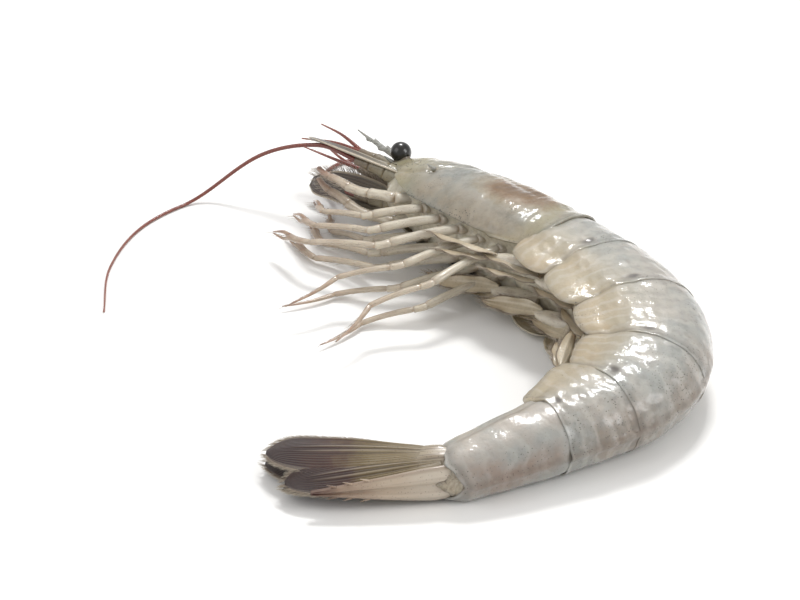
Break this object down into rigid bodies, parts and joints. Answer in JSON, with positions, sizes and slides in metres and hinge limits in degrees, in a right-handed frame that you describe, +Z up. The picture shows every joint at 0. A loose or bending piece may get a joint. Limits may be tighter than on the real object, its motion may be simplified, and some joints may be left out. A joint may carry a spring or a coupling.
{
  "type": "raw prawn",
  "caption": "Whole raw prawn with head, shell, legs and tail fan on, lying on its right side with the body curled.",
  "frame": {"origin": "on the surface it lies on, below the middle of its bounding box", "axes": "+Z up, +X towards the outside of the bend of the back, +Y towards the head; the prawn lies on its right side"},
  "size_m": [0.1072, 0.1203, 0.0178],
  "materials": {
    "shell": "wet translucent blue-grey shell with fine dark specks over pale flesh",
    "head_shield": "wet translucent shell, yellow-grey with a brown shadow of the liver and dark specks",
    "tail_fan": "wet thin plates, olive in the middle and purple-brown at the tips",
    "limbs": "pale beige translucent joints with darker edges",
    "feelers": "red-brown whips, paler at the tips",
    "bristles": "soft grey-brown hairs along the edges of blades and limbs",
    "eye": "glossy black"
  },
  "bodies": {
    "root": {"prawn": "shell"}
  },
  "joints": []
}
